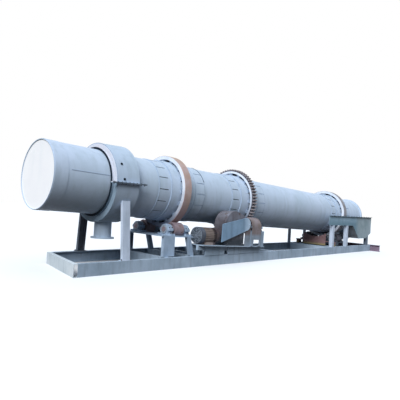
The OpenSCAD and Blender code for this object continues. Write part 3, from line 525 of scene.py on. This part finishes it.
stations = ((1, "feed", table_paint), (2, "discharge", primer_rust), (0, "pinion", table_paint))
for group, station, skin in stations:
    blocks = [b[1:] for b in bearings if b[0] == group]

    def cap_ears(form):
        """Ears beside the round caps and a grease boss on top."""
        ear_y, ear_size = 0.118, (BLOCK_L * 0.82, 0.062, 0.056)
        boss_size = (0.05, 0.05, 0.018)
        for a, y, w, _ in blocks:
            for side in (-1, 1):
                slab(form, on_drum(a, y + side * ear_y, w), ear_size, 0.006)
            slab(form, on_drum(a, y, w + BLOCK_CAP - 0.002), boss_size, 0.005)

    def block_bolts(form):
        """Two cap bolts in each ear and a foot bolt at each side."""
        cap_a, cap_y, ear_top, foot_in = 0.036, 0.126, 0.028, 0.036
        for a, y, w, _ in blocks:
            for side in (-1, 1):
                for end in (-1, 1):
                    bolt(form, on_drum(a + end * cap_a, y + side * cap_y, w + ear_top), 0.012, 0.013)
                foot = on_drum(a, y + side * (BLOCK_W / 2 - foot_in), w - BLOCK_C + BLOCK_FOOT)
                bolt(form, foot, 0.019, 0.02)

    def shaft_covers(form):
        """A screwed cover ring round the shaft on both faces of each block."""
        screws, screw_r, cover_t = 6, 0.077, 0.012
        for a, y, w, r in blocks:
            for face, turn in ((1, ALONG_X), (-1, BACK_X)):
                spot = on_drum(a + face * BLOCK_L / 2, y, w) @ turn
                ring(form, spot, r + 0.003, BLOCK_CAP - 0.012, cover_t, steps=32)
                for i in range(screws):
                    around = Matrix.Rotation(i * math.tau / screws, 4, "Z")
                    bolt(form, spot @ around @ Matrix.Translation((screw_r, 0, cover_t)), 0.006, 0.006)

    piece(station + "_cap_ears", "frame", skin, cap_ears)
    piece(station + "_block_bolts", "frame", bolt_steel, block_bolts)
    piece(station + "_shaft_covers", "frame", dull_zinc, shaft_covers)


# Feed hood: flange bolts, felt seals against the drum, the upper half's edge, two sockets on the drive side


def hood_bolts(form):
    """Bolts and nuts along the split flanges, and two bolts at the foot of each leg."""
    count, inset = 9, 0.08
    y = HOOD_R + SPLIT_W * 0.55
    leg_y = SKID_HALF_W - 0.018
    for side in (-1, 1):
        for i in range(count):
            x = HOOD_X + (i / (count - 1) - 0.5) * (HOOD_LEN + 2 * SPLIT_OVER - inset)
            bolt(form, at(x, side * y, HOOD_Z + SPLIT_T), 0.010, 0.006)
            bolt(form, at(x, side * y, HOOD_Z - SPLIT_T) @ Matrix.Rotation(math.pi, 4, "X"), 0.011, 0.010)
        for x in (-0.1, 0.1):
            bolt(form, at(HOOD_X + x, side * leg_y, BEAM_H + BEAM_LIP), 0.012, 0.012)


piece("hood_bolts", "frame", bolt_steel, hood_bolts)


def hood_seals(form):
    """Felt rings between the hood's collars and the drum."""
    for end, turn in ((-1, BACK_X), (1, ALONG_X)):
        x = HOOD_X + end * (HOOD_LEN / 2 + COLLAR_L)
        spot = at(x, 0, AXIS_Z - math.tan(SLOPE) * x) @ turn
        ring(form, spot, DRUM_R + 0.006, COLLAR_IN + 0.018, 0.012, steps=96)


piece("hood_seals", "frame", shade_and_felt, hood_seals)


def hood_edge(form):
    """The weld round the upper half's feed-side edge."""
    spot = at(HOOD_X - HOOD_LEN / 2 - 0.001, 0, HOOD_Z) @ ALONG_X @ Matrix.Rotation(math.pi / 2, 4, "Z")
    ring(form, spot, HOOD_R - 0.010, HOOD_R + 0.003, 0.010, steps=64, sweep=math.pi)


piece("hood_edge", "frame", weld_paint, hood_edge)


def hood_sockets(form):
    """Two short sockets in the upper half, dark all over as painted shade in their holes: place along the
    machine and degrees above the split.
    """
    for x, angle in ((-4.838, 27.3), (-4.811, 5.4)):
        lean = at(x, 0, HOOD_Z) @ Matrix.Rotation(math.radians(90 - angle), 4, "X")
        ring(form, lean @ Matrix.Translation((0, 0, HOOD_R - 0.002)), 0.012, 0.022, 0.016, steps=24)
        bmesh.ops.create_cone(form, cap_ends=True, segments=16, radius1=0.014, radius2=0.014, depth=0.010,
                              matrix=lean @ Matrix.Translation((0, 0, HOOD_R + 0.002)))


piece("hood_sockets", "frame", shade_and_felt, hood_sockets)


# Drive: fan grille, bolts, screws, reducer lid, pinion cover and plinth plates

FAN_FACE = on_drum(MOTOR_START, PINION_Y, INPUT_W) @ BACK_X


def fan_grille(form):
    """Wire rings and spokes over the fan's opening."""
    spokes, spoke_r, spoke_size = 8, 0.085, (0.15, 0.008, 0.006)
    for r in (0.03, 0.062, 0.094, 0.126, 0.156):
        ring(form, FAN_FACE @ Matrix.Translation((0, 0, 0.001)), r - 0.005, r + 0.004, 0.007, steps=36)
    for i in range(spokes):
        turn = Matrix.Rotation(i * math.tau / spokes, 4, "Z")
        slab(form, FAN_FACE @ turn @ Matrix.Translation((spoke_r, 0, 0.003)), spoke_size, 0.001)


piece("fan_grille", "frame", dull_zinc, fan_grille)


def fan_opening_shade(form):
    """A dark disc behind the grille, as painted shade in the fan's opening."""
    bmesh.ops.create_cone(form, cap_ends=True, segments=48, radius1=0.160, radius2=0.158, depth=0.002,
                          matrix=FAN_FACE @ Matrix.Translation((0, 0, 0.0005)))


piece("fan_opening_shade", "frame", shade_and_felt, fan_opening_shade)


def drive_bolts(form):
    """Bolts of the motor's flange, of the reducer's joint and of the reducer's feet."""
    flange_bolts, flange_r = 8, 0.163
    flange = on_drum(MOTOR_START + MOTOR_L - MOTOR_FLANGE, PINION_Y, INPUT_W) @ BACK_X
    for i in range(flange_bolts):
        around = Matrix.Rotation((i + 0.5) * math.tau / flange_bolts, 4, "Z")
        bolt(form, flange @ around @ Matrix.Translation((flange_r, 0, 0)), 0.010, 0.012)
    joint_y, foot_y, foot_t = REDUCER_HALF_W + JOINT_W * 0.5, 0.183, 0.03
    for side in (-1, 1):
        for a in (-2.09, -1.93, -1.77, -1.61, -1.50):
            bolt(form, on_drum(a, PINION_Y + side * joint_y, PINION_W + JOINT_T), 0.012, 0.014)
        for a in (-2.06, -1.56):
            bolt(form, on_drum(a, PINION_Y + side * foot_y, PLINTH_W + foot_t), 0.013, 0.016)


piece("drive_bolts", "frame", bolt_steel, drive_bolts)


def guard_screws(form):
    """Screws on the guard's outer face: places along the drum and up from its axis."""
    face = PINION_Y - REDUCER_HALF_W - JOINT_W - GUARD_T
    for a, w in ((-2.24, -0.70), (-2.24, -0.92), (-1.95, -0.80), (-1.70, -0.56), (-1.38, -0.56)):
        bolt(form, on_drum(a, face, w) @ TO_FRONT, 0.008, 0.006)


piece("guard_screws", "frame", guard_paint, guard_screws)


def reducer_lid(form):
    """Inspection lid on the sloping roof and the cover round the output shaft."""
    roof_fall, roof_run = 0.240 - 0.316, 0.341 - 0.099
    lid_size = (0.17, 0.2, 0.02)
    lean = Matrix.Rotation(-math.atan2(roof_fall, roof_run), 4, "Y")
    slab(form, on_drum(HUMP_A + 0.215, PINION_Y, PINION_W + 0.282) @ lean, lid_size, 0.005)
    ring(form, on_drum(REDUCER_END, PINION_Y, PINION_W) @ ALONG_X, 0.058, 0.125, 0.004, steps=40)


piece("reducer_lid", "frame", reducer_paint, reducer_lid)


def pinion_cover(form):
    """Sheet bent over the drive side of the pinion, with an end wall, a skirt and two feet on the plinth."""
    start, end, out, sheet = -1.250, -0.890, 0.232, 0.006
    wall_in, foot_l, foot_w = 0.090, 0.060, 0.050
    skirt_w = PLINTH_W + 0.150
    to_side = ALONG_X @ Matrix.Rotation(math.pi, 4, "Z")
    ring(form, on_drum(start, PINION_Y, PINION_W) @ to_side, out - sheet, out, end - start, steps=24,
         sweep=math.pi / 2)
    ring(form, on_drum(end - sheet, PINION_Y, PINION_W) @ to_side, wall_in, out, sheet, steps=24,
         sweep=math.pi / 2)
    side = PINION_Y - out + sheet / 2
    slab(form, on_drum((start + end) / 2, side, (PINION_W + skirt_w) / 2),
         (end - start, sheet, PINION_W - skirt_w), 0.002)
    for a in (start + foot_l / 2, end - foot_l / 2):
        slab(form, on_drum(a, side, (skirt_w + PLINTH_W) / 2), (foot_l, sheet, skirt_w - PLINTH_W), 0.002)
        slab(form, on_drum(a, side + foot_w / 2, PLINTH_W + sheet / 2), (foot_l, foot_w, sheet), 0.002)


piece("pinion_cover", "frame", cover_paint, pinion_cover)


def plinth_sides(form):
    """Cover plates between the skid and the plinth's top, against the skid's web."""
    under, sheet = PLINTH_W - PLINTH_T, 0.014
    for start, end in ((-2.64, -2.02), (-1.90, -0.70)):
        top_end, top_start = [TILT @ Vector((a, -SKID_HALF_W, under)) for a in (end, start)]
        foot_start = (top_start.x, -SKID_HALF_W, BEAM_H)
        foot_end = (top_end.x, -SKID_HALF_W, BEAM_H)
        plate(form, [foot_start, foot_end, top_end, top_start], (0, -sheet, 0))


piece("plinth_sides", "frame", skid_paint, plinth_sides)


# Discharge station: the plate that stands before the rollers


def discharge_shield(form):
    """Upright plate on the skid, cut round under the ring."""
    a, half, thick, gap, steps = TYRE_A[1] - 0.537, 0.400, 0.016, 0.012, 16
    foot = (BEAM_H - AXIS_Z + math.sin(SLOPE) * a) / math.cos(SLOPE) + 0.006
    cut = TYRE_R + gap
    reach = math.asin(half / cut)
    arc = [reach * (1 - 2 * i / steps) for i in range(steps + 1)]
    outline = [(-half, foot), (half, foot)]
    outline += [(cut * math.sin(t), -cut * math.cos(t)) for t in arc]
    plate(form, [TILT @ Vector((a, y, w)) for y, w in outline], TILT.to_3x3() @ Vector((thick, 0, 0)))


piece("discharge_shield", "frame", primer_rust, discharge_shield)

# Discharge casing: bolts along the open top flange


def casing_bolts(form):
    """A row of bolts on each side of the open top."""
    count, inset, flange_y = 16, 0.08, CASING_Y + 0.034
    pitch = (CASING_RIGHT - CASING_LEFT - 2 * inset) / (count - 1)
    for side in (-1, 1):
        for i in range(count):
            bolt(form, at(CASING_LEFT + inset + i * pitch, side * flange_y, CASING_TOP), 0.011, 0.01)


piece("casing_bolts", "frame", bolt_steel, casing_bolts)


# Studio: pale floor, soft sky, a broad key light, camera where the photograph was taken


def seen_directly(tree):
    """1 where the eye, a mirror or glass sees the studio, 0 where it only lights the object."""
    path = add(tree, "LightPath").outputs
    share = add(tree, "Math", {0: path["Is Camera Ray"], 1: path["Is Glossy Ray"]}, operation="MAXIMUM")
    share = add(tree, "Math", {0: share.outputs[0], 1: path["Is Transmission Ray"]}, operation="MAXIMUM")
    return share.outputs[0]


FLOOR_HALF = 60
form = bmesh.new()
bmesh.ops.create_grid(form, x_segments=1, y_segments=1, size=FLOOR_HALF)
sheet = bpy.data.meshes.new("floor")
form.to_mesh(sheet)
form.free()
floor = bpy.data.objects.new("floor", sheet)
bpy.context.collection.objects.link(floor)
floor_paint = bpy.data.materials.new("studio_floor")
floor_paint.use_nodes = True
tree = floor_paint.node_tree
# The floor looks pale but throws back only a little warm light, so the drum's underside stays dark
tone = add(tree, "Mix", {0: seen_directly(tree), 6: linear("#473d34"), 7: linear("#f4f6f8")},
           data_type="RGBA")
shader = tree.nodes["Principled BSDF"]
tree.links.new(tone.outputs[2], shader.inputs["Base Color"])
shader.inputs["Roughness"].default_value = 0.9
shader.inputs["Specular IOR Level"].default_value = 0.0
sheet.materials.append(floor_paint)

# The sky lights from a dull horizon to a bright zenith and looks white
world = bpy.data.worlds.new("overcast_sky")
bpy.context.scene.world = world
world.use_nodes = True
sky = world.node_tree
direction = add(sky, "SeparateXYZ", {0: add(sky, "TexCoord").outputs["Generated"]})
height = add(sky, "MapRange", {"Value": direction.outputs["Z"], "From Min": 0.0, "From Max": 0.9})
light = add(sky, "Mix", {0: height.outputs[0], 6: linear("#3d484c"), 7: linear("#dbe6f5")}, data_type="RGBA")
tone = add(sky, "Mix", {0: seen_directly(sky), 6: light.outputs[2], 7: (1, 1, 1, 1)}, data_type="RGBA")
sky.links.new(tone.outputs[2], sky.nodes["Background"].inputs["Color"])

KEY_FROM = Vector((-0.72, -0.36, 0.60))
key = bpy.data.objects.new("soft_key", bpy.data.lights.new("soft_key", "SUN"))
key.data.energy = 3.2
key.data.angle = math.radians(35)
key.matrix_world = KEY_FROM.to_track_quat("Z", "Y").to_matrix().to_4x4()
bpy.context.collection.objects.link(key)

# Fitted to the photograph: the camera's place, and its directions to the right, up and ahead
CAMERA_AT = (-9.3081, -6.9101, 1.2651)
CAMERA_RIGHT = Vector((0.6896, -0.7219, 0.0568))
CAMERA_UP = Vector((-0.046, 0.0346, 0.9983))
CAMERA_AHEAD = Vector((0.7227, 0.6911, 0.0094))
lens = bpy.data.cameras.new("photo_camera")
lens.sensor_width = 36.0
lens.lens = 38.25
lens.shift_y = 0.005
lens.clip_end = 200.0
camera = bpy.data.objects.new("photo_camera", lens)
turned = Matrix((CAMERA_RIGHT, CAMERA_UP, -CAMERA_AHEAD)).transposed().to_4x4()
camera.matrix_world = Matrix.Translation(CAMERA_AT) @ turned
bpy.context.collection.objects.link(camera)
bpy.context.scene.camera = camera
bpy.context.scene.view_settings.view_transform = "Standard"
